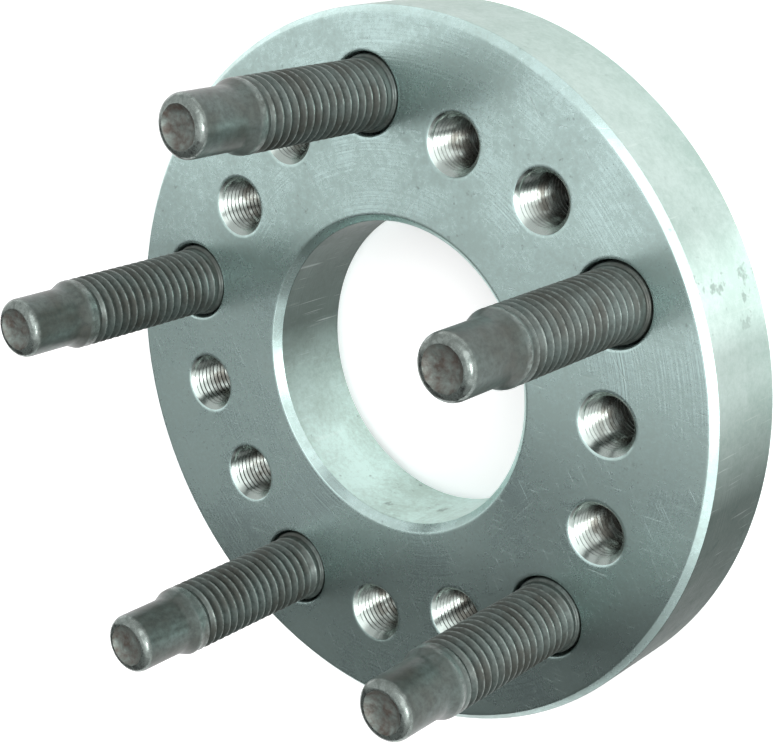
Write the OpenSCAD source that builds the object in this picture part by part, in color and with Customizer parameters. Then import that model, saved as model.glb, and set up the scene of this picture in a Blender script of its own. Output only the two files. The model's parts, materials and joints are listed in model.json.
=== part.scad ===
// Wheel spacer: a turned aluminium plate with five wheel studs pressed in from behind.
// Two more bolt circles of tapped holes bolt the plate to hubs of other sizes.
// It lies on its hub-side face with the studs up. The origin is the centre of that face.

/* [Plate] */
// Outside diameter of the plate
plate_d = 165.1; // [160:0.1:200]
// Thickness of the plate, face to face
plate_t = 25.4; // [19:0.1:40]
// Chamfer round the rim on the wheel side
rim_front_chamfer = 1.5; // [0.5:0.1:3]
// Chamfer round the rim on the hub side
rim_back_chamfer = 2; // [0.5:0.1:3]

/* [Hub bore] */
// Diameter of the centre bore
bore_d = 70.6; // [54:0.1:78]
// Chamfer of the bore on the wheel side
bore_front_chamfer = 1.7; // [0.5:0.1:4]
// Chamfer of the bore on the hub side, which clears the fillet of a hub
bore_back_chamfer = 3.8; // [0.5:0.1:6]

/* [Bolt circles] */
// Diameter of the circle through the studs
stud_circle_d = 127; // [118:0.05:130]
// Diameter of the larger circle of tapped holes
outer_hole_circle_d = 120.65; // [114:0.05:126]
// Diameter of the smaller circle of tapped holes
inner_hole_circle_d = 114.3; // [108:0.05:120]

/* [Tapped holes] */
// Diameter of the tapping drill, inside the thread
tap_drill_d = 11.5; // [8:0.1:13]
// Countersink at both mouths of a tapped hole
tap_chamfer = 1.4; // [0.4:0.1:2.5]

/* [Stud holes] */
// Room round the thread where it passes through a stud hole
thread_gap = 1.3; // [1.1:0.05:2.5]
// Broken edge of a stud hole on the wheel side
stud_hole_edge = 0.3; // [0.1:0.1:1]

/* [Stud thread and nose] */
// Diameter over the thread
thread_d = 15.875; // [12:0.005:18]
// Length from under the head to the tip
stud_l = 76.2; // [66:0.1:100]
// Length of the cone between the thread and the pilot nose
lead_l = 2.8; // [1:0.1:6]
// Step down from the thread to the pilot nose
pilot_step = 1.25; // [1.2:0.05:2.5]
// Length of the pilot nose
pilot_l = 13.1; // [8:0.1:20]
// Radius round the edge of the tip
tip_round = 1.9; // [0.4:0.1:2]
// Flat ring between the round of the tip and the dish in its end
dish_land = 0.1; // [0.1:0.1:1]
// Depth of the dish
dish_depth = 1.2; // [0.3:0.1:2]

/* [Stud head and shank] */
// Lip of the head round the stud hole
head_lip = 3.45; // [2:0.05:4.5]
// Thickness of the head
head_t = 4.7; // [3:0.1:7]
// Chamfer round the back of the head
head_chamfer = 1; // [0.3:0.1:2]
// Plain length of the shank ahead of its serrations
shank_plain_l = 7.2; // [1:0.1:12]
// Depth of the serrations, which grip the hole
serration_depth = 0.5; // [0.2:0.1:0.8]
// Chamfer round the front of the shank
shank_chamfer = 0.3; // [0.1:0.1:0.8]

/* [Fits] */
// Room round the head in its counterbore
head_gap = 0.5; // [0.2:0.1:1]
// Depth of the head below the hub-side face
head_inset = 0.4; // [0.1:0.1:1]
// Room round the plain part of the shank
shank_gap = 0.6; // [0.05:0.05:0.7]
// Depth of the front of the shank below the wheel-side face
shank_drop = 0.3; // [0.3:0.1:3]

/* [Hidden] */
$fn = 96;

stud_count = 5;
stud_step = 360 / stud_count;
hole_step = stud_step / 3;
first_stud = 90;
serrations = 36;
overcut = 1;

plate_r = plate_d / 2;
bore_r = bore_d / 2;
tap_r = tap_drill_d / 2;
thread_r = thread_d / 2;
pilot_r = thread_r - pilot_step;
dish_r = pilot_r - tip_round - dish_land;
dish_ball_r = (pow(dish_r, 2) + pow(dish_depth, 2)) / (2 * dish_depth);
stud_hole_r = thread_r + thread_gap;
head_r = stud_hole_r + head_lip;
counterbore_r = head_r + head_gap;
seat_z = head_inset + head_t;
shank_r = stud_hole_r - shank_gap;
shank_root_r = stud_hole_r - serration_depth;
shank_end_z = plate_t - shank_drop;
serration_end_z = shank_end_z - shank_plain_l;
tip_z = seat_z + stud_l;
pilot_z = tip_z - pilot_l;
lead_z = pilot_z - lead_l;

// Puts its children at each place on a bolt circle, turned from the studs by an angle
module on_circle(circle_d, turn) {
    for (i = [0 : stud_count - 1])
        rotate(first_stud + i * stud_step + turn)
            translate([circle_d / 2, 0, 0])
                children();
}

// Half section of the plate, with its four chamfers
module plate_section() {
    polygon([
        [bore_r + bore_back_chamfer, 0],
        [plate_r - rim_back_chamfer, 0],
        [plate_r, rim_back_chamfer],
        [plate_r, plate_t - rim_front_chamfer],
        [plate_r - rim_front_chamfer, plate_t],
        [bore_r + bore_front_chamfer, plate_t],
        [bore_r, plate_t - bore_front_chamfer],
        [bore_r, bore_back_chamfer],
    ]);
}

// Through hole at the tapping size, countersunk at both ends
module tapped_hole() {
    mouth_r = tap_r + tap_chamfer;
    rotate_extrude()
        polygon([
            [0, -overcut],
            [mouth_r + overcut, -overcut],
            [tap_r, tap_chamfer],
            [tap_r, plate_t - tap_chamfer],
            [mouth_r + overcut, plate_t + overcut],
            [0, plate_t + overcut],
        ]);
}

// Stepped hole for a stud: counterbore for the head, grip for the shank, broken edge
module stud_hole() {
    rotate_extrude()
        polygon([
            [0, -overcut],
            [counterbore_r, -overcut],
            [counterbore_r, seat_z],
            [stud_hole_r, seat_z],
            [stud_hole_r, plate_t - stud_hole_edge],
            [stud_hole_r + stud_hole_edge + overcut, plate_t + overcut],
            [0, plate_t + overcut],
        ]);
}

module spacer_plate() {
    color("#a9b5b1")
        difference() {
            rotate_extrude() plate_section();
            on_circle(stud_circle_d, 0) stud_hole();
            on_circle(outer_hole_circle_d, hole_step) tapped_hole();
            on_circle(inner_hole_circle_d, 2 * hole_step) tapped_hole();
        }
}

// Half section of a stud without its serrations, with the edge of the tip as a round
module stud_section() {
    polygon([
        [0, head_inset],
        [head_r - head_chamfer, head_inset],
        [head_r, head_inset + head_chamfer],
        [head_r, seat_z],
        [thread_r, seat_z],
        [thread_r, serration_end_z],
        [shank_r, serration_end_z],
        [shank_r, shank_end_z - shank_chamfer],
        [shank_r - shank_chamfer, shank_end_z],
        [thread_r, shank_end_z],
        [thread_r, lead_z],
        [pilot_r, pilot_z],
        [pilot_r, tip_z - tip_round],
        [pilot_r - tip_round, tip_z],
        [0, tip_z],
    ]);
    translate([pilot_r - tip_round, tip_z - tip_round])
        circle(r = tip_round);
}

// Ring of straight serrations whose crests meet the wall of the stud hole
module serrated_shank() {
    translate([0, 0, seat_z])
        linear_extrude(serration_end_z - seat_z)
            polygon([
                for (i = [0 : 2 * serrations - 1])
                    let (r = i % 2 == 0 ? stud_hole_r : shank_root_r, a = i * 180 / serrations)
                        r * [cos(a), sin(a)]
            ]);
}

// One stud on its own axis: the turned blank, the serrations and the dished end
module stud() {
    difference() {
        union() {
            rotate_extrude() stud_section();
            serrated_shank();
        }
        translate([0, 0, tip_z - dish_depth + dish_ball_r])
            sphere(r = dish_ball_r);
    }
}

module wheel_stud(number) {
    color("#5b5c58")
        rotate(first_stud + (number - 1) * stud_step)
            translate([stud_circle_d / 2, 0, 0])
                stud();
}

spacer_plate();
for (i = [1 : stud_count])
    wheel_stud(i);
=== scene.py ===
# %% [markdown]
# # A wheel spacer with five wheel studs
# The part is a thick round plate of aluminium, turned on a lathe, with a bore for the hub, ten tapped
# holes and five steel studs pressed in from behind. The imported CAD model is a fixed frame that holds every
# size and place. Its threads are plain cylinders, so each node is rebuilt here with real threads, broken
# edges and a finish, at the same place and inside the same box.

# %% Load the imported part
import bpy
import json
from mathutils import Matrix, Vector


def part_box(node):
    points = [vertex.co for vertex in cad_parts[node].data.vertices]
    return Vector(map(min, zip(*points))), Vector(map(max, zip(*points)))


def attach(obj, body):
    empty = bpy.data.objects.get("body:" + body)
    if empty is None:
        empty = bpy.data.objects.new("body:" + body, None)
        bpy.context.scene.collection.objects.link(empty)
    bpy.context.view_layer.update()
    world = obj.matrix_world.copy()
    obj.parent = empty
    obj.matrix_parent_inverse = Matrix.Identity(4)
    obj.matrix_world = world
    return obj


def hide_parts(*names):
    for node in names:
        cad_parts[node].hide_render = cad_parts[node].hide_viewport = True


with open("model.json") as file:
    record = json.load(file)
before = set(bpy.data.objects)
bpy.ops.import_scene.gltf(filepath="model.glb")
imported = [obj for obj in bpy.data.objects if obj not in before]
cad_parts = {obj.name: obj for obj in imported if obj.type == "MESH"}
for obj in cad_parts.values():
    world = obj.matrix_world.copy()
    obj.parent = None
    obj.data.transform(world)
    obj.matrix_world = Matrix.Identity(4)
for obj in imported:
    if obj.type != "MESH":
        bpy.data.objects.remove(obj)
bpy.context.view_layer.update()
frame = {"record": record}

# %% [markdown]
# ## Sizes of the plate
# The large sizes are read from the frame: the plate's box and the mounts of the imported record, which give
# the bore, the bolt circles and the thread sizes. Chamfers aren't mounts, so those are named here in
# millimetres, as in the CAD model. Meshes are built in millimetres too, and scaled once when they become
# objects, because small parts are easier to think about that way.

# %% Read the plate's sizes
import math

MM = 0.001
mounts = {mount["name"]: mount["dims"] for mount in frame["record"]["mounts"]}
plate_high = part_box("spacer_plate")[1]
plate_r = plate_high.x / MM
plate_t = plate_high.z / MM
bore_r = mounts["hub_bore"]["r_mm"]
stud_circle_r = mounts["wheel_studs"]["pcd_mm"] / 2
outer_circle_r = mounts["hub_holes_outer"]["pcd_mm"] / 2
inner_circle_r = mounts["hub_holes_inner"]["pcd_mm"] / 2
tap_r = mounts["hub_holes_outer"]["hole_r_mm"]
thread_r = mounts["wheel_studs"]["stud_r_mm"]
stud_count = mounts["wheel_studs"]["count"]
rim_front_chamfer = 1.5
rim_back_chamfer = 2.0
bore_front_chamfer = 1.7
bore_back_chamfer = 3.8
tap_chamfer = 1.4
print(f"plate {2 * plate_r:.1f} x {plate_t:.1f} mm, bore {2 * bore_r:.1f} mm, {stud_count} studs")

# %% [markdown]
# ## Turning on a lathe
# Rim, bore, holes and studs are all round, so one tool makes them: an outline of (radius, height) points
# is turned round an axis. The Screw modifier could do that, but rings of vertices made in code can be
# joined to other rings later, which the threads need. A real edge is never a knife edge, so break_edges
# cuts each corner of an outline back to a small flat that catches the light as a thin bright line.

# %% Rings, quads and broken edges
import bmesh
from mathutils import Vector


def add_ring(bm, axis, radius, z, count, tooth=0):
    """A ring of points round an upright axis. With a tooth, every second point lies that much deeper."""
    ring = []
    for step in range(count):
        angle = math.tau * step / count
        reach = radius - tooth * (step % 2)
        ring.append(bm.verts.new((axis.x + reach * math.cos(angle), axis.y + reach * math.sin(angle), z)))
    return ring


def join_rings(bm, first, second, finish):
    """A band of quads from one ring to the next, in the given material slot."""
    for step in range(len(first)):
        after = (step + 1) % len(first)
        band = bm.faces.new((first[step], first[after], second[after], second[step]))
        band.material_index = finish


def turn(bm, axis, outline, count, finish):
    """Turns an outline round an axis, as a lathe does, and gives back its first and last ring."""
    rings = [add_ring(bm, axis, radius, z, count) for radius, z in outline]
    for first, second in zip(rings, rings[1:]):
        join_rings(bm, first, second, finish)
    return rings[0], rings[-1]


def break_edges(outline, width):
    """Cuts each inner corner of an outline back by that width on both sides."""
    points = [Vector(outline[0])]
    for before, corner, after in zip(outline, outline[1:], outline[2:]):
        for neighbour in (before, after):
            points.append(Vector(corner) + (Vector(neighbour) - Vector(corner)).normalized() * width)
    return points + [Vector(outline[-1])]


print("an L with its corner broken:", [tuple(p) for p in break_edges([(0, 0), (5, 0), (5, 5)], 1)])

# %% [markdown]
# ## Cutting a thread
# A thread is one groove that climbs a wall as a helix. A bump map would leave the outline smooth, and a
# Screw modifier leaves open ends. Here the rows of the mesh follow the helix, so crest and root stay
# crisp with few faces. Points that would pass an end ring become that ring's own points, so the wall
# closes on the rings without a seam. A radius function says how deep the groove is at each height.

# %% The helical wall


def cut_thread(bm, axis, low_ring, high_ring, pitch, profile, radius_at, finish):
    """A threaded wall between two rings. A profile point is (share of the pitch, share of the depth)."""
    count = len(low_ring)
    low_z = low_ring[0].co.z
    high_z = high_ring[0].co.z
    made = {}

    def point(row, step):
        row, step = row + len(profile) * (step // count), step % count
        share, depth = profile[row % len(profile)]
        z = low_z + pitch * (row // len(profile) + share + step / count)
        if z <= low_z:
            return low_ring[step]
        if z >= high_z:
            return high_ring[step]
        if (row, step) not in made:
            angle = math.tau * step / count
            radius = radius_at(z, depth)
            made[row, step] = bm.verts.new(
                (axis.x + radius * math.cos(angle), axis.y + radius * math.sin(angle), z)
            )
        return made[row, step]

    turns = math.ceil((high_z - low_z) / pitch) + 1
    for row in range(-2 * len(profile), turns * len(profile)):
        for step in range(count):
            over = row + 1
            corners = (point(row, step), point(row, step + 1), point(over, step + 1), point(over, step))
            # Points that fall together on an end ring count once
            corners = list(dict.fromkeys(corners))
            if len(corners) > 2:
                bm.faces.new(corners).material_index = finish
    return len(made)


def ease(low, high, value):
    """A smooth step from 0 at low to 1 at high."""
    share = min(max((value - low) / (high - low), 0), 1)
    return share * share * (3 - 2 * share)


print("a smooth step at a quarter:", ease(0, 1, 0.25))

# %% [markdown]
# ## The plate: rim and bore
# Rim and bore are turned in the same chucking as the faces. Each outline starts and ends with a narrow
# land that lies in the face, so that the chamfer's edge can be broken and the flat face keeps its own
# normal. Many steps round the axis keep the large circles smooth in outline.

# %% Turn the rim and the bore
FACED, RIM, BORED, BEVELLED, TAPPED = range(5)
land = 0.6
broken_edge = 0.12
around = 192
centre = Vector((0, 0))
plate = bmesh.new()
rim_outline = [
    (plate_r - rim_back_chamfer - land, 0),
    (plate_r - rim_back_chamfer, 0),
    (plate_r, rim_back_chamfer),
    (plate_r, plate_t - rim_front_chamfer),
    (plate_r - rim_front_chamfer, plate_t),
    (plate_r - rim_front_chamfer - land, plate_t),
]
bore_outline = [
    (bore_r + bore_back_chamfer + land, 0),
    (bore_r + bore_back_chamfer, 0),
    (bore_r, bore_back_chamfer),
    (bore_r, plate_t - bore_front_chamfer),
    (bore_r + bore_front_chamfer, plate_t),
    (bore_r + bore_front_chamfer + land, plate_t),
]
back_rings, front_rings = [], []
for outline, finish in ((rim_outline, RIM), (bore_outline, BORED)):
    back, front = turn(plate, centre, break_edges(outline, broken_edge), around, finish)
    back_rings.append(back)
    front_rings.append(front)
print("rim and bore:", len(plate.faces), "faces")

# %% [markdown]
# ## The plate: tapped holes
# Two bolt circles carry five holes each, drilled, countersunk on both sides and tapped with a half-inch
# thread of 20 turns an inch. The countersinks cut the thread away towards each mouth, so the radius
# function takes the larger of the groove and the countersink's cone. Crests and roots are narrow, so most
# of the wall is flanks, and those that face up mirror the light from above.

# %% Tap the holes
first_stud = 90
stud_step = 360 / stud_count
hole_step = stud_step / 3
tap_pitch = 25.4 / 20
tap_depth = 0.5
tap_profile = [(0, 0), (0.12, 0), (0.5, 1), (0.62, 1)]
hole_steps = 48
mouth_r = tap_r + tap_chamfer


def on_circle(radius, degrees):
    """A place on a bolt circle."""
    angle = math.radians(degrees)
    return Vector((radius * math.cos(angle), radius * math.sin(angle)))


def tapped_radius(z, depth):
    """Radius of a tapped wall: the thread's groove, or the countersink where that is wider."""
    countersink = tap_chamfer - min(z, plate_t - z)
    return tap_r + max(tap_depth * depth, countersink)


for number in range(stud_count):
    for circle_r, turned in ((outer_circle_r, hole_step), (inner_circle_r, 2 * hole_step)):
        axis = on_circle(circle_r, first_stud + number * stud_step + turned)
        rings = []
        for face_z, inward in ((0, 1), (plate_t, -1)):
            mouth = [(mouth_r + land, face_z), (mouth_r + broken_edge, face_z),
                     (mouth_r - broken_edge, face_z + inward * broken_edge)]
            rings += turn(plate, axis, mouth, hole_steps, FACED)
        back, back_mouth, front, front_mouth = rings
        back_rings.append(back)
        front_rings.append(front)
        thread_points = cut_thread(plate, axis, back_mouth, front_mouth, tap_pitch, tap_profile,
                                   tapped_radius, TAPPED)
print("one tapped wall has", thread_points, "points")

# %% [markdown]
# ## The plate: stud holes
# Each stud sits in a stepped hole: a counterbore at the back for its head, a bore that its serrations
# grip, and a slightly broken edge on the wheel side. The stud's plain collar nearly fills the front of that
# bore, and the narrow gap left round it shows as a dark ring.

# %% Bore the stud holes
thread_gap = 1.3
stud_hole_edge = 0.3
head_lip = 3.45
head_gap = 0.5
head_inset = 0.4
head_t = 4.7
stud_hole_r = thread_r + thread_gap
head_r = stud_hole_r + head_lip
counterbore_r = head_r + head_gap
seat_z = head_inset + head_t
stud_steps = 72
for number in range(stud_count):
    axis = on_circle(stud_circle_r, first_stud + number * stud_step)
    outline = [
        (counterbore_r + land, 0),
        (counterbore_r, 0),
        (counterbore_r, seat_z),
        (stud_hole_r, seat_z),
        (stud_hole_r, plate_t - stud_hole_edge),
        (stud_hole_r + stud_hole_edge, plate_t),
        (stud_hole_r + stud_hole_edge + land, plate_t),
    ]
    back, front = turn(plate, axis, break_edges(outline, broken_edge), stud_steps, FACED)
    back_rings.append(back)
    front_rings.append(front)
print(f"stud holes {2 * stud_hole_r:.2f} mm, counterbores {2 * counterbore_r:.2f} mm")

# %% [markdown]
# ## The plate: faces
# What is left is one flat sheet on each side with sixteen round openings. A Boolean could cut them, but
# every ring is already there, so Blender's triangle fill closes the space between them. A weighted normal
# modifier then lets the large flat faces set the shading at their edges, and the broken edges shade round.
# Chamfers take the finish of the faces, apart from those of the bore, which have one of their own.

# %% Fill the faces and make the piece
import bpy
from mathutils import Matrix

sharp_angle = math.radians(32)
# How upright the normal of a face has to be: the first tells a chamfer from a wall,
# and the second tells a flat face from a chamfer
chamfer_flatness = 0.5
face_flatness = 0.9


def fill_between(bm, rings, up):
    """Fills the flat sheet between an outer ring and the rings inside it."""
    edges = []
    for ring in rings:
        for first, second in zip(ring, ring[1:] + ring[:1]):
            edges.append(bm.edges.get((first, second)))
    bmesh.ops.triangle_fill(bm, use_beauty=True, edges=edges, normal=(0, 0, up))


def make_piece(name, bm):
    """Turns a mesh in millimetres into an object in metres, smooth but for its sharp edges."""
    bmesh.ops.recalc_face_normals(bm, faces=bm.faces)
    for face in bm.faces:
        face.smooth = True
    mesh = bpy.data.meshes.new(name)
    bm.to_mesh(mesh)
    bm.free()
    mesh.transform(Matrix.Scale(MM, 4))
    mesh.set_sharp_from_angle(angle=sharp_angle)
    piece = bpy.data.objects.new(name, mesh)
    bpy.context.scene.collection.objects.link(piece)
    weighted = piece.modifiers.new("flat faces shade flat", "WEIGHTED_NORMAL")
    weighted.keep_sharp = True
    return piece


fill_between(plate, front_rings, 1)
fill_between(plate, back_rings, -1)
plate.normal_update()
for face in plate.faces:
    flatness = abs(face.normal.z)
    if face.material_index == BORED and chamfer_flatness < flatness < face_flatness:
        face.material_index = BEVELLED
    elif flatness > chamfer_flatness and face.material_index != TAPPED:
        face.material_index = FACED
open_edges = sum(1 for edge in plate.edges if len(edge.link_faces) != 2)
turned_plate = make_piece("turned_plate", plate)
print("plate:", len(turned_plate.data.polygons), "faces,", open_edges, "open edges")

# %% [markdown]
# ## The studs: head and shank
# A wheel stud is forged with a round head, knurled with straight serrations that bite into the plate, and
# then its thread is rolled. The head and shank are hidden from the front, but they show from the back and
# in the gap round the stud. Each stud is built round its own axis and stood on its place at the end.

# %% Sizes of a stud
stud_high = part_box("wheel_stud_1")[1]
tip_z = stud_high.z / MM
head_chamfer = 1.0
serration_depth = 0.5
shank_gap = 0.6
shank_chamfer = 0.3
shank_drop = 0.3
shank_plain_l = 7.2
pilot_step = 1.25
pilot_l = 13.1
lead_l = 2.8
tip_round = 1.9
dish_land = 0.1
dish_depth = 1.2
shank_r = stud_hole_r - shank_gap
shank_end_z = plate_t - shank_drop
serration_end_z = shank_end_z - shank_plain_l
pilot_r = thread_r - pilot_step
pilot_z = tip_z - pilot_l
lead_z = pilot_z - lead_l
dish_r = pilot_r - tip_round - dish_land
STEEL, SHEARED = 0, 1
print(f"a stud of {2 * thread_r:.3f} mm stands {tip_z - plate_t:.1f} mm out of the plate")

# %% Head, serrations and shank
head_land = 1
head_edge = 0.25
seat_ring = 0.5
shank_edge = 0.04
collar_round = 0.3
thread_start = 0.4


def add_head_and_shank(bm):
    """The stud from the back of its head to the front of its shank. Gives back the last ring."""
    head = [
        (head_r - head_chamfer - head_land, head_inset),
        (head_r - head_chamfer, head_inset),
        (head_r, head_inset + head_chamfer),
        (head_r, seat_z),
        (stud_hole_r + seat_ring, seat_z),
    ]
    head_back, head_seat = turn(bm, centre, break_edges(head, head_edge), stud_steps, STEEL)
    bm.faces.new(head_back)
    serrations = [add_ring(bm, centre, stud_hole_r, z, stud_steps, serration_depth)
                  for z in (seat_z, serration_end_z)]
    shank = [
        (shank_r, serration_end_z + serration_depth),
        (shank_r, shank_end_z - shank_chamfer),
        (shank_r - shank_chamfer, shank_end_z),
        (thread_r + collar_round, shank_end_z),
        (thread_r, shank_end_z + collar_round),
        (thread_r, shank_end_z + thread_start),
    ]
    shank_low, shank_high = turn(bm, centre, break_edges(shank, shank_edge), stud_steps, STEEL)
    join_rings(bm, head_seat, serrations[0], STEEL)
    join_rings(bm, serrations[0], serrations[1], STEEL)
    join_rings(bm, serrations[1], shank_low, STEEL)
    return shank_high


print("serrations:", stud_steps // 2)

# %% [markdown]
# ## The studs: rolled thread and nose
# The thread has 11 turns an inch. Rolling presses the groove in and leaves rounded crests, so the profile
# has a small step on each side of the crest. The groove runs out before the shank and where the lead cone
# starts. Beyond the cone a smooth pilot nose guides the wheel and the nut on, with a well rounded edge.

# %% Rolled thread and nose
stud_pitch = 25.4 / 11
groove_depth = 1.25
stud_profile = [(0, 0.06), (0.03, 0), (0.095, 0), (0.125, 0.06), (0.4375, 1), (0.6875, 1)]
base_run_out = 3.2
lead_run_out = 6
lead_overlap = 0.4
lead_start = 0.6
nose_blend = 0.6
round_step = 15


def lead_radius(z):
    """Radius of the stud without its groove: the cylinder, then the lead cone."""
    return thread_r - max(0, z - lead_z) * (thread_r - pilot_r) / lead_l


def rolled_radius(z, depth):
    """Radius of the rolled thread, whose groove runs out at both ends."""
    at_base = ease(plate_t, plate_t + base_run_out, z)
    at_lead = 1 - ease(lead_z - lead_run_out, lead_z + lead_overlap, z)
    return lead_radius(z) - groove_depth * depth * at_base * at_lead


def add_thread_and_nose(bm, shank_ring):
    """The thread up to the lead cone, and the pilot nose. Gives back the ring round the dish."""
    lead_start_z = lead_z + lead_start
    nose = [
        (lead_radius(lead_start_z), lead_start_z),
        (pilot_r, pilot_z),
        (pilot_r, tip_z - tip_round),
    ]
    outline = break_edges(nose, nose_blend)
    for degrees in range(round_step, 91, round_step):
        angle = math.radians(degrees)
        inward = tip_round * (1 - math.cos(angle))
        below_tip = tip_round * (1 - math.sin(angle))
        outline.append((pilot_r - inward, tip_z - below_tip))
    lead_ring, tip_ring = turn(bm, centre, outline, stud_steps, STEEL)
    cut_thread(bm, centre, shank_ring, lead_ring, stud_pitch, stud_profile, rolled_radius, STEEL)
    return tip_ring


print(f"stud thread: pitch {stud_pitch:.3f} mm, groove {groove_depth} mm deep")

# %% [markdown]
# ## The studs: dished ends
# The end of a stud is where the rod was sheared and upset, which leaves a shallow dish with an uneven
# floor. Rings step down into a shallow pan, and Blender's own noise moves each point a little. The number
# of the stud shifts the noise, so that no two ends are alike.

# %% Dished ends and the five studs
from mathutils import noise

unevenness = 0.16
lump_size = 1.6
finer_lumps = 2.3
raggedness = 0.03
least_depth = 0.05
dish_shares = (1, 0.95, 0.89, 0.8, 0.68, 0.5, 0.3, 0.14)


def add_dish(bm, tip_ring, seed):
    """An uneven pan inside the tip's ring, whose own edge is a little ragged."""
    previous = tip_ring
    for share in dish_shares:
        ring = add_ring(bm, centre, dish_r * share, tip_z, stud_steps)
        for point in ring:
            place = Vector((point.co.x / lump_size, point.co.y / lump_size, seed))
            lump = noise.noise(place) + 0.5 * noise.noise(place * finer_lumps)
            if share == 1:
                point.co.xy *= 1 + raggedness * lump
            else:
                # A high power gives a flat floor and a steep wall
                sunk = dish_depth * (1 - share ** 5)
                point.co.z = tip_z - max(least_depth, sunk - unevenness * lump)
        join_rings(bm, previous, ring, SHEARED if share < 1 else STEEL)
        previous = ring
    bm.faces.new(previous).material_index = SHEARED


studs = []
for number in range(stud_count):
    stud = bmesh.new()
    shank_ring = add_head_and_shank(stud)
    tip_ring = add_thread_and_nose(stud, shank_ring)
    add_dish(stud, tip_ring, 10 * number)
    piece = make_piece(f"threaded_stud_{number + 1}", stud)
    turned = Matrix.Rotation(math.radians(first_stud + number * stud_step), 4, "Z")
    piece.matrix_world = turned @ Matrix.Translation((stud_circle_r * MM, 0, 0))
    studs.append(piece)
print("one stud:", len(studs[0].data.polygons), "faces")

# %% [markdown]
# ## Colours and nodes
# Colours are given as sRGB hex values, and shaders work in linear light, so one function converts them.
# A second small function adds a node, sets its properties and fills its sockets: a socket as a value
# makes a link, anything else is set as a constant. Sockets go by name, or by number where names repeat. A
# Map Range node takes its value as 0, the range that it reads as 1 and 2, and the range that it gives as 3
# and 4. A Mix node for colours takes its share as 0 and its colours as 6 and 7, and its result is output 2.

# %% Helpers for materials


def linear(hex_colour):
    """An sRGB hex colour as linear red, green, blue and alpha."""
    shares = [int(hex_colour[place:place + 2], 16) / 255 for place in (1, 3, 5)]
    return [s / 12.92 if s <= 0.04045 else ((s + 0.055) / 1.055) ** 2.4 for s in shares] + [1]


def add_node(tree, kind, settings, inputs):
    """Adds a node with its settings. An input that is a socket is linked, and any other is set."""
    node = tree.nodes.new(kind)
    for name, value in settings.items():
        setattr(node, name, value)
    for name, value in inputs.items():
        if isinstance(value, bpy.types.NodeSocket):
            tree.links.new(value, node.inputs[name])
        else:
            node.inputs[name].default_value = value
    return node


def start_material(name):
    """A material with a Principled shader on its output."""
    material = bpy.data.materials.new(name)
    material.use_nodes = True
    tree = material.node_tree
    tree.nodes.clear()
    shader = add_node(tree, "ShaderNodeBsdfPrincipled", {}, {})
    add_node(tree, "ShaderNodeOutputMaterial", {}, {"Surface": shader.outputs["BSDF"]})
    return material, tree, shader


def per_mm(size):
    """The scale of a texture whose features are that many millimetres large."""
    return 1 / (size * MM)


print("a mid grey is linear", round(linear("#808080")[0], 3))

# %% [markdown]
# ## Turned aluminium
# Bare aluminium, faced on a lathe with a round-nosed tool. To the eye it is a cool, pale satin metal: it
# mirrors its surroundings softly, with faint rings from the tool, cloudy patches, a fine mottling of oxide,
# a few dark flecks and scratches from handling. The rings follow the distance along the turned outline,
# radius plus height, so that they run round the face, the bore and the rim alike. Scratches come first: a
# noise that is stretched to long thin streaks, in three directions.

# %% Scratches
scratch_runs = ((25, 14), (-50, 20), (80, 9))
# A scratch is about 0.05 mm wide, too fine to show, so it is drawn wider
scratch_width = 0.3


def add_scratches(tree, place):
    """Scratches in a few directions, each with its own length in millimetres. Gives back a socket."""
    scratched = None
    for degrees, length in scratch_runs:
        turned = add_node(tree, "ShaderNodeMapping", {"vector_type": "TEXTURE"},
                          {"Vector": place, "Rotation": (0, 0, math.radians(degrees)),
                           "Scale": (scratch_width * MM, length * MM, length * MM)})
        streak = add_node(tree, "ShaderNodeTexNoise", {},
                          {"Vector": turned.outputs[0], "Scale": 1, "Detail": 1})
        # Only the peaks of the noise are scratches
        line = add_node(tree, "ShaderNodeMapRange", {}, {0: streak.outputs[0], 1: 0.71, 2: 0.8, 3: 0, 4: 1})
        if scratched:
            line = add_node(tree, "ShaderNodeMath", {"operation": "MAXIMUM"},
                            {0: scratched, 1: line.outputs[0]})
        scratched = line.outputs[0]
    return scratched


print("scratches run in", len(scratch_runs), "directions")

# %% Turned aluminium
fleck_edge = 0.12
fleck_share = 0.42
scratch_share = 0.18
mark_depth = 0.013


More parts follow.
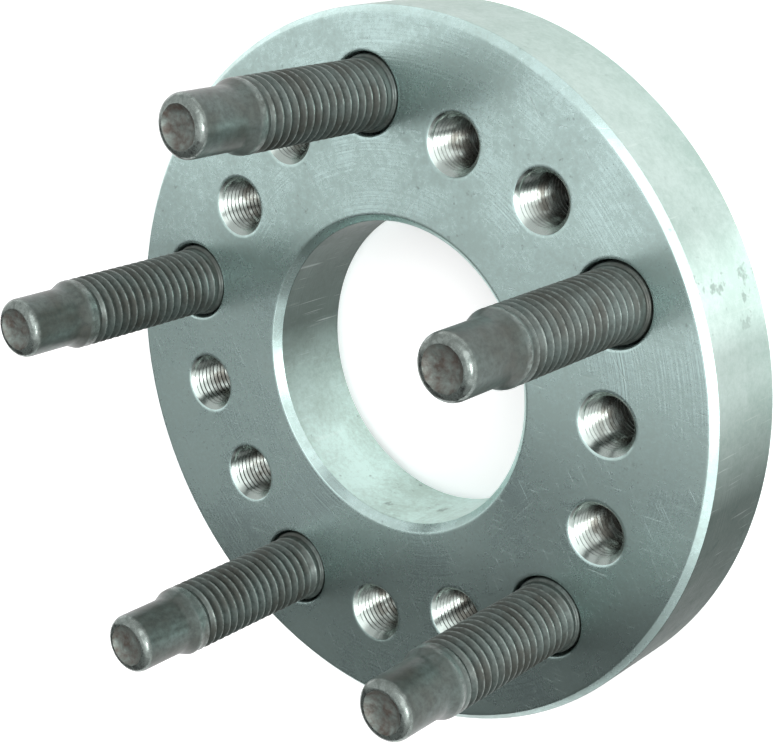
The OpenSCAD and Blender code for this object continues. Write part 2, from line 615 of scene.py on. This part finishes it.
def turned_aluminium(name, pale, dull, stain_and_shade, fleck_from, fleck_size, satin, shade_ramps):
    """Aluminium as turned. Each ramp of painted shade is (axis, where it starts, where it is full, share).
    """
    material, tree, shader = start_material(name)
    place = add_node(tree, "ShaderNodeTexCoord", {}, {}).outputs["Object"]
    flat = add_node(tree, "ShaderNodeVectorMath", {"operation": "MULTIPLY"}, {0: place, 1: (1, 1, 0)})
    radius = add_node(tree, "ShaderNodeVectorMath", {"operation": "LENGTH"}, {0: flat.outputs[0]})
    axes = add_node(tree, "ShaderNodeSeparateXYZ", {}, {0: place})
    along = add_node(tree, "ShaderNodeMath", {"operation": "ADD"},
                     {0: radius.outputs["Value"], 1: axes.outputs["Z"]})
    # The tool's feed is about 0.2 mm a turn, too fine to show, so its rings are drawn 0.6 mm wide
    rings = add_node(tree, "ShaderNodeTexNoise", {"noise_dimensions": "1D"},
                     {"W": along.outputs[0], "Scale": per_mm(0.6), "Detail": 2, "Roughness": 0.5})
    clouds = add_node(tree, "ShaderNodeTexNoise", {},
                      {"Vector": place, "Scale": per_mm(18), "Detail": 5, "Roughness": 0.6})
    mottling = add_node(tree, "ShaderNodeTexNoise", {},
                        {"Vector": place, "Scale": per_mm(1.6), "Detail": 5, "Roughness": 0.85})
    grime = add_node(tree, "ShaderNodeTexNoise", {},
                     {"Vector": place, "Scale": per_mm(fleck_size), "Detail": 3, "Roughness": 0.7})
    # Flecks gather where the clouds are dull
    gathered = add_node(tree, "ShaderNodeMath", {"operation": "MULTIPLY_ADD"},
                        {0: clouds.outputs[0], 1: -0.35, 2: grime.outputs[0]})
    flecks = add_node(tree, "ShaderNodeMapRange", {"interpolation_type": "SMOOTHSTEP"},
                      {0: gathered.outputs[0], 1: fleck_from, 2: fleck_from + fleck_edge,
                       3: 0, 4: fleck_share})
    scratched = add_scratches(tree, place)
    # Clouds and mottling together set how pale a place is
    spread = add_node(tree, "ShaderNodeMath", {"operation": "MULTIPLY_ADD"},
                      {0: mottling.outputs[0], 1: 0.9, 2: clouds.outputs[0]})
    tone = add_node(tree, "ShaderNodeMapRange", {}, {0: spread.outputs[0], 1: 0.78, 2: 1.12, 3: 1, 4: 0})
    clouded = add_node(tree, "ShaderNodeMix", {"data_type": "RGBA"},
                       {0: tone.outputs[0], 6: linear(pale), 7: linear(dull)})
    # Painted shade darkens the metal along straight ramps, as flecks of dirt do in spots, and where both lie
    # the darker one shows
    dirt_and_shade = flecks
    for axis, start, full, share in shade_ramps:
        veil = add_node(tree, "ShaderNodeMapRange", {},
                        {0: axes.outputs[axis], 1: start * MM, 2: full * MM, 3: 0, 4: share})
        dirt_and_shade = add_node(tree, "ShaderNodeMath", {"operation": "MAXIMUM"},
                        {0: dirt_and_shade.outputs[0], 1: veil.outputs[0]})
    # One dark colour serves both the flecks of dirt and the painted shade
    dirtied_and_shaded = add_node(tree, "ShaderNodeMix", {"data_type": "RGBA"},
                     {0: dirt_and_shade.outputs[0], 6: clouded.outputs[2], 7: linear(stain_and_shade)})
    bright = add_node(tree, "ShaderNodeMath", {"operation": "MULTIPLY"}, {0: scratched, 1: scratch_share})
    scored = add_node(tree, "ShaderNodeMix", {"data_type": "RGBA"},
                      {0: bright.outputs[0], 6: dirtied_and_shaded.outputs[2], 7: linear("#F0F6F4")})
    tree.links.new(scored.outputs[2], shader.inputs["Base Color"])
    # Dull places and flecks are rougher than clean metal
    roughness = add_node(tree, "ShaderNodeMath", {"operation": "MULTIPLY_ADD"},
                         {0: tone.outputs[0], 1: 0.08, 2: satin})
    worn = add_node(tree, "ShaderNodeMath", {"operation": "MULTIPLY_ADD"},
                    {0: flecks.outputs[0], 1: 0.2, 2: roughness.outputs[0]})
    tree.links.new(worn.outputs[0], shader.inputs["Roughness"])
    # The tool chattered in places, so its rings are deeper in some patches than in others
    chatter = add_node(tree, "ShaderNodeMapRange", {},
                       {0: clouds.outputs[0], 1: 0.45, 2: 0.7, 3: 0.5, 4: 3})
    ringed = add_node(tree, "ShaderNodeMath", {"operation": "MULTIPLY"},
                      {0: rings.outputs[0], 1: chatter.outputs[0]})
    dents = add_node(tree, "ShaderNodeMath", {"operation": "ADD"},
                     {0: mottling.outputs[0], 1: ringed.outputs[0]})
    relief = add_node(tree, "ShaderNodeMath", {"operation": "SUBTRACT"},
                      {0: dents.outputs[0], 1: scratched})
    grooves = add_node(tree, "ShaderNodeBump", {},
                       {"Height": relief.outputs[0], "Distance": mark_depth * MM, "Strength": 1})
    tree.links.new(grooves.outputs[0], shader.inputs["Normal"])
    # The rings run round the axis, so the gloss spreads across them
    around_axis = add_node(tree, "ShaderNodeTangent", {"direction_type": "RADIAL", "axis": "Z"}, {})
    tree.links.new(around_axis.outputs[0], shader.inputs["Tangent"])
    shader.inputs["Anisotropic"].default_value = 0.65
    shader.inputs["Anisotropic Rotation"].default_value = 0.25
    # The oxide skin scatters a little of the light
    shader.inputs["Metallic"].default_value = 0.9
    return material


print("depth of the turned marks:", mark_depth, "mm")

# %% [markdown]
# ## Four turned finishes
# The same recipe gives four surfaces that look different. The face is clean and smooth, with painted shade
# at its -Y end.
# Hands have left large flecks on the rim, and painted shade grows on it towards -Y, and less towards +Y, so
# to the eye it falls from nearly white to dark grey; a narrow band near Y = 20 mm is left clean as a painted
# highlight. The bore is rougher, with a painted dark reflection towards +Y. Its bevels are as bright as the
# face, with painted shade towards -X.

# %% Four turned finishes
# Painted shade darkens the face and its chamfers towards -Y
faced = turned_aluminium("aluminium faced on a lathe", pale="#DAF5F2", dull="#C5DDD8", stain_and_shade="#5E6A65",
                         fleck_from=0.48, fleck_size=2.4, satin=0.24, shade_ramps=[("Y", -38, -56, 0.4)])
# On the rim, painted shade grows towards -Y and less towards +Y; the clean band left near Y = 20 mm, in the
# very pale colour, is a painted highlight
rim = turned_aluminium("aluminium rim stained by handling", pale="#E7F9F3", dull="#CFE5DD", stain_and_shade="#3C4A45",
                       fleck_from=0.41, fleck_size=5, satin=0.31,
                       shade_ramps=[("Y", 19, 9, 0.46), ("Y", 24, -24, 0.96), ("Y", 22, 34, 0.37)])
# Grease dulls what the rim mirrors at a slant
rim.node_tree.nodes["Principled BSDF"].inputs["Specular Tint"].default_value = (0.7, 0.7, 0.7, 1)
# A painted dark reflection darkens the bore towards +Y
bored = turned_aluminium("aluminium bored on a lathe", pale="#D2EAE4", dull="#B8CCC4", stain_and_shade="#454D49",
                         fleck_from=0.44, fleck_size=3, satin=0.34,
                         shade_ramps=[("Y", -0.55 * bore_r, 0.25 * bore_r, 0.92)])
# Painted shade darkens the bore's bevels towards -X
bevelled = turned_aluminium("aluminium bevelled on a lathe", pale="#DAF5F2", dull="#C5DDD8",
                            stain_and_shade="#5E6A65", fleck_from=0.48, fleck_size=2.4, satin=0.24,
                            shade_ramps=[("X", -16, -24, 0.5)])
print("turned finishes:", faced.name, rim.name, bored.name, bevelled.name, sep=", ")

# %% [markdown]
# ## Tapped aluminium
# A tap shears clean metal and leaves bright flanks. Oil and dirt stay in the holes as smears, which grow
# fuller and darker further from each mouth. To the eye a hole is nearly white where its flanks catch the
# light and dark below that.

# %% Tapped aluminium
no_smears_to = 1
full_smears_from = 8
tapped, tree, shader = start_material("aluminium thread cut by a tap")
place = add_node(tree, "ShaderNodeTexCoord", {}, {}).outputs["Object"]
smears = add_node(tree, "ShaderNodeTexNoise", {}, {"Vector": place, "Scale": per_mm(3), "Detail": 3})
height = add_node(tree, "ShaderNodeSeparateXYZ", {}, {0: place})
from_middle = add_node(tree, "ShaderNodeMath", {"operation": "SUBTRACT"},
                       {0: height.outputs["Z"], 1: plate_t / 2 * MM})
off_middle = add_node(tree, "ShaderNodeMath", {"operation": "ABSOLUTE"}, {0: from_middle.outputs[0]})
# The smears grow fuller and darker further from each mouth, and are left out within a millimetre of it
inside = add_node(tree, "ShaderNodeMapRange", {},
                  {0: off_middle.outputs[0], 1: (plate_t / 2 - full_smears_from) * MM,
                   2: (plate_t / 2 - no_smears_to) * MM, 3: 0.95, 4: 0})
dark_smears = add_node(tree, "ShaderNodeMapRange", {},
               {0: smears.outputs[0], 1: 0.2, 2: 0.55, 3: 0, 4: inside.outputs[0]})
metal = add_node(tree, "ShaderNodeMix", {"data_type": "RGBA"},
                 {0: dark_smears.outputs[0], 6: linear("#B6C1BC"), 7: linear("#53524C")})
tree.links.new(metal.outputs[2], shader.inputs["Base Color"])
roughness = add_node(tree, "ShaderNodeMapRange", {},
                     {0: smears.outputs[0], 1: 0.3, 2: 0.7, 3: 0.2, 4: 0.3})
tree.links.new(roughness.outputs[0], shader.inputs["Roughness"])
shader.inputs["Metallic"].default_value = 1
print("tapped finish:", tapped.name)

# %% [markdown]
# ## Phosphated steel
# Wheel studs are hardened steel with an oiled manganese phosphate coat. To the eye that is a dark greenish
# grey, mottled, with a soft sheen. It is rubbed off unevenly on the crests and round the edge of the nose,
# where bare steel shines through. Object coordinates start at the stud's own axis, so their radius finds
# the crests and their height finds the nose. The stud's place is added to them for the patterns, so that no
# two studs have the same marks.

# %% Phosphated steel
crest_depth = 0.3
rubbed_from = 1.9
rubbed_to = 0.7
grain_depth = 0.015
phosphated, tree, shader = start_material("oiled phosphated steel")
place = add_node(tree, "ShaderNodeTexCoord", {}, {}).outputs["Object"]
where = add_node(tree, "ShaderNodeObjectInfo", {}, {}).outputs["Location"]
own = add_node(tree, "ShaderNodeVectorMath", {"operation": "ADD"}, {0: place, 1: where}).outputs[0]
# A crystal is about 0.05 mm large, too fine to show, so clusters of them are drawn
crystals = add_node(tree, "ShaderNodeTexNoise", {},
                    {"Vector": own, "Scale": per_mm(1.2), "Detail": 4, "Roughness": 0.7})
patches = add_node(tree, "ShaderNodeTexNoise", {}, {"Vector": own, "Scale": per_mm(7), "Detail": 4})
flat = add_node(tree, "ShaderNodeVectorMath", {"operation": "MULTIPLY"}, {0: place, 1: (1, 1, 0)})
radius = add_node(tree, "ShaderNodeVectorMath", {"operation": "LENGTH"}, {0: flat.outputs[0]})
height = add_node(tree, "ShaderNodeSeparateXYZ", {}, {0: place})
# Only what stands out of the plate gets rubbed
above = add_node(tree, "ShaderNodeMapRange", {},
                 {0: height.outputs["Z"], 1: plate_t * MM, 2: (plate_t + 1) * MM, 3: 0, 4: 0.55})
uneven = add_node(tree, "ShaderNodeMapRange", {},
                  {0: crystals.outputs[0], 1: 0.4, 2: 0.65, 3: 0.02, 4: above.outputs[0]})
crests = add_node(tree, "ShaderNodeMapRange", {},
                  {0: radius.outputs["Value"], 1: (thread_r - crest_depth) * MM, 2: thread_r * MM, 3: 0,
                   4: uneven.outputs[0]})
worn = add_node(tree, "ShaderNodeMapRange", {}, {0: crystals.outputs[0], 1: 0.38, 2: 0.6, 3: 1, 4: 0.3})
nose_edge = add_node(tree, "ShaderNodeMapRange", {"interpolation_type": "SMOOTHSTEP"},
                     {0: height.outputs["Z"], 1: (tip_z - rubbed_from) * MM, 2: (tip_z - rubbed_to) * MM,
                      3: 0, 4: worn.outputs[0]})
rub = add_node(tree, "ShaderNodeMath", {"operation": "MAXIMUM"},
               {0: crests.outputs[0], 1: nose_edge.outputs[0]})
brown = add_node(tree, "ShaderNodeMapRange", {}, {0: patches.outputs[0], 1: 0.36, 2: 0.64, 3: 0, 4: 1})
coat = add_node(tree, "ShaderNodeMix", {"data_type": "RGBA"},
                {0: brown.outputs[0], 6: linear("#57635F"), 7: linear("#464A44")})
speckle = add_node(tree, "ShaderNodeMapRange", {}, {0: crystals.outputs[0], 1: 0.4, 2: 0.65, 3: 0, 4: 0.55})
speckled = add_node(tree, "ShaderNodeMix", {"data_type": "RGBA"},
                    {0: speckle.outputs[0], 6: coat.outputs[2], 7: linear("#2F3633")})
steel = add_node(tree, "ShaderNodeMix", {"data_type": "RGBA"},
                 {0: nose_edge.outputs[0], 6: linear("#A2AEA9"), 7: linear("#8D9692")})
rubbed = add_node(tree, "ShaderNodeMix", {"data_type": "RGBA"},
                  {0: rub.outputs[0], 6: speckled.outputs[2], 7: steel.outputs[2]})
tree.links.new(rubbed.outputs[2], shader.inputs["Base Color"])
# Bare steel is more of a mirror than the coat, and smoother
bare = add_node(tree, "ShaderNodeMath", {"operation": "MULTIPLY_ADD"}, {0: rub.outputs[0], 1: 0.5, 2: 0.4})
tree.links.new(bare.outputs[0], shader.inputs["Metallic"])
roughness = add_node(tree, "ShaderNodeMapRange", {},
                     {0: patches.outputs[0], 1: 0.3, 2: 0.7, 3: 0.34, 4: 0.42})
polished = add_node(tree, "ShaderNodeMath", {"operation": "MULTIPLY_ADD"},
                    {0: rub.outputs[0], 1: -0.26, 2: roughness.outputs[0]})
tree.links.new(polished.outputs[0], shader.inputs["Roughness"])
grains = add_node(tree, "ShaderNodeBump", {},
                  {"Height": crystals.outputs[0], "Distance": grain_depth * MM, "Strength": 1})
tree.links.new(grains.outputs[0], shader.inputs["Normal"])
# The oil is a thin clear coat
shader.inputs["Coat Weight"].default_value = 0.15
shader.inputs["Coat Roughness"].default_value = 0.2
print("stud finish:", phosphated.name)

# %% [markdown]
# ## Sheared ends
# The dish at the end of a stud is torn steel, which the coat covers poorly, so it has a thin film of rust.
# To the eye it is a dull, mottled grey-brown with grey metal showing through.

# %% Sheared ends
tear_depth = 0.25
sheared, tree, shader = start_material("sheared steel with a film of rust")
place = add_node(tree, "ShaderNodeTexCoord", {}, {}).outputs["Object"]
where = add_node(tree, "ShaderNodeObjectInfo", {}, {}).outputs["Location"]
own = add_node(tree, "ShaderNodeVectorMath", {"operation": "ADD"}, {0: place, 1: where}).outputs[0]
veil = add_node(tree, "ShaderNodeTexNoise", {},
                {"Vector": own, "Scale": per_mm(2.2), "Detail": 4, "Roughness": 0.65})
rust = add_node(tree, "ShaderNodeMapRange", {}, {0: veil.outputs[0], 1: 0.35, 2: 0.65, 3: 0, 4: 1})
torn = add_node(tree, "ShaderNodeMix", {"data_type": "RGBA"},
                {0: rust.outputs[0], 6: linear("#7C8681"), 7: linear("#5D5650")})
tree.links.new(torn.outputs[2], shader.inputs["Base Color"])
roughness = add_node(tree, "ShaderNodeMapRange", {},
                     {0: veil.outputs[0], 1: 0.3, 2: 0.7, 3: 0.42, 4: 0.62})
tree.links.new(roughness.outputs[0], shader.inputs["Roughness"])
tears = add_node(tree, "ShaderNodeBump", {},
                 {"Height": veil.outputs[0], "Distance": tear_depth * MM, "Strength": 1})
tree.links.new(tears.outputs[0], shader.inputs["Normal"])
shader.inputs["Metallic"].default_value = 0.6
print("end finish:", sheared.name)

# %% [markdown]
# ## Dressing the frame
# Each piece takes its finishes, rides on the one body of the frame and stands for its CAD node, which is
# then hidden but still there for the physics.

# %% Dress the pieces
for finish in (faced, rim, bored, bevelled, tapped):
    turned_plate.data.materials.append(finish)
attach(turned_plate, "root")
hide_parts("spacer_plate")
for number, piece in enumerate(studs):
    for finish in (phosphated, sheared):
        piece.data.materials.append(finish)
    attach(piece, "root")
    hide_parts(f"wheel_stud_{number + 1}")
print("dressed:", turned_plate.name, "and", len(studs), "studs")

# %% [markdown]
# ## Floor and light
# The part lies on a plain white floor, which glows a little to the camera and in mirrors, so that it stays
# white under the soft shadow. Satin metal is mostly a picture of the room, so the room is simple: a bright
# side and a dark side with a narrow step between them, a white card in the dark side, and a broad window at
# the right that gives the highlights. One small lamp near the window draws the edges of the shadows.

# %% Floor
floor_size = 12
glow_to_camera = 0.32
glow_in_mirrors = 0.22
corners = [(x * floor_size, y * floor_size, 0) for x, y in ((-1, -1), (1, -1), (1, 1), (-1, 1))]
floor_mesh = bpy.data.meshes.new("floor")
floor_mesh.from_pydata(corners, [], [(0, 1, 2, 3)])
floor = bpy.data.objects.new("floor", floor_mesh)
bpy.context.scene.collection.objects.link(floor)
paper, tree, shader = start_material("matt white paper")
shader.inputs["Base Color"].default_value = linear("#FCFCFC")
shader.inputs["Roughness"].default_value = 0.9
shader.inputs["Specular IOR Level"].default_value = 0
path = add_node(tree, "ShaderNodeLightPath", {}, {})
seen = add_node(tree, "ShaderNodeMath", {"operation": "MULTIPLY"},
                {0: path.outputs["Is Camera Ray"], 1: glow_to_camera})
glow = add_node(tree, "ShaderNodeMath", {"operation": "MULTIPLY_ADD"},
                {0: path.outputs["Is Glossy Ray"], 1: glow_in_mirrors, 2: seen.outputs[0]})
shader.inputs["Emission Color"].default_value = (1, 1, 1, 1)
tree.links.new(glow.outputs[0], shader.inputs["Emission Strength"])
floor_mesh.materials.append(paper)
print("floor:", 2 * floor_size, "m wide")

# %% World
bright_side = (0.45, 0.89, 0)
# A patch of light is (direction of its middle, cosine where it starts, cosine where it is full, strength)
white_card = ((0.46, -0.77, 0.44), 0.8, 0.95, 0.35)
broad_window = ((0.68, 0.195, 0.707), 0.72, 0.88, 1.2)
world = bpy.data.worlds.new("studio")
bpy.context.scene.world = world
world.use_nodes = True
tree = world.node_tree
tree.nodes.clear()
direction = add_node(tree, "ShaderNodeTexCoord", {}, {}).outputs["Generated"]
side = add_node(tree, "ShaderNodeVectorMath", {"operation": "DOT_PRODUCT"}, {0: direction, 1: bright_side})
# The step from the dark side to the bright one, and a slight fall beyond it
step = add_node(tree, "ShaderNodeMapRange", {"interpolation_type": "SMOOTHSTEP"},
                {0: side.outputs["Value"], 1: -0.46, 2: -0.42, 3: 0.02, 4: 0.9})
slope = add_node(tree, "ShaderNodeMapRange", {}, {0: side.outputs["Value"], 1: -0.3, 2: 0.2, 3: 0, 4: -0.1})
level = add_node(tree, "ShaderNodeMath", {"operation": "ADD"}, {0: step.outputs[0], 1: slope.outputs[0]})
for middle, start, full, strength in (white_card, broad_window):
    near = add_node(tree, "ShaderNodeVectorMath", {"operation": "DOT_PRODUCT"}, {0: direction, 1: middle})
    patch = add_node(tree, "ShaderNodeMapRange", {"interpolation_type": "SMOOTHSTEP"},
                     {0: near.outputs["Value"], 1: start, 2: full, 3: 0, 4: strength})
    level = add_node(tree, "ShaderNodeMath", {"operation": "ADD"},
                     {0: level.outputs[0], 1: patch.outputs[0]})
walls = add_node(tree, "ShaderNodeBackground", {}, {"Color": (1, 1, 1, 1), "Strength": level.outputs[0]})
add_node(tree, "ShaderNodeOutputWorld", {}, {"Surface": walls.outputs[0]})
print("world:", world.name)

# %% Lamp
azimuth = math.radians(-10)
elevation = math.radians(37)
lamp = bpy.data.lights.new("small lamp", "SUN")
lamp.energy = 0.8
lamp.angle = math.radians(22)
holder = bpy.data.objects.new("small lamp", lamp)
bpy.context.scene.collection.objects.link(holder)
across = math.cos(elevation)
towards = Vector((across * math.cos(azimuth), across * math.sin(azimuth), math.sin(elevation)))
holder.rotation_euler = towards.to_track_quat("Z", "Y").to_euler()
print("lamp:", lamp.name, "towards", tuple(round(x, 2) for x in towards))

# %% [markdown]
# ## Camera
# The photograph looks down on the plate from the front right, with a long lens. The place of the camera
# was found from the bolt circles and the rim. The plate's +Y side is up in the picture, but for a small
# roll.

# %% Camera
eye = Vector((249.2, 89.4, 312.4)) * MM
aim = Vector((-1.4, 1.1, 25.4)) * MM
roll = math.radians(-5.65)
lens = bpy.data.cameras.new("camera")
lens.sensor_width = 36
lens.lens = 80.3
camera = bpy.data.objects.new("camera", lens)
bpy.context.scene.collection.objects.link(camera)
backward = (eye - aim).normalized()
sideways = Vector((0, 1, 0)).cross(backward).normalized()
upward = backward.cross(sideways)
unrolled = Matrix((sideways, upward, backward)).transposed().to_4x4()
camera.matrix_world = Matrix.Translation(eye) @ unrolled @ Matrix.Rotation(roll, 4, "Z")
bpy.context.scene.camera = camera
bpy.context.scene.view_settings.view_transform = "Standard"
print("the camera looks along", tuple(round(-x, 3) for x in backward))

# %% [markdown]
# ## A last import
# Only the json module is imported here.

# %% Import json
import json
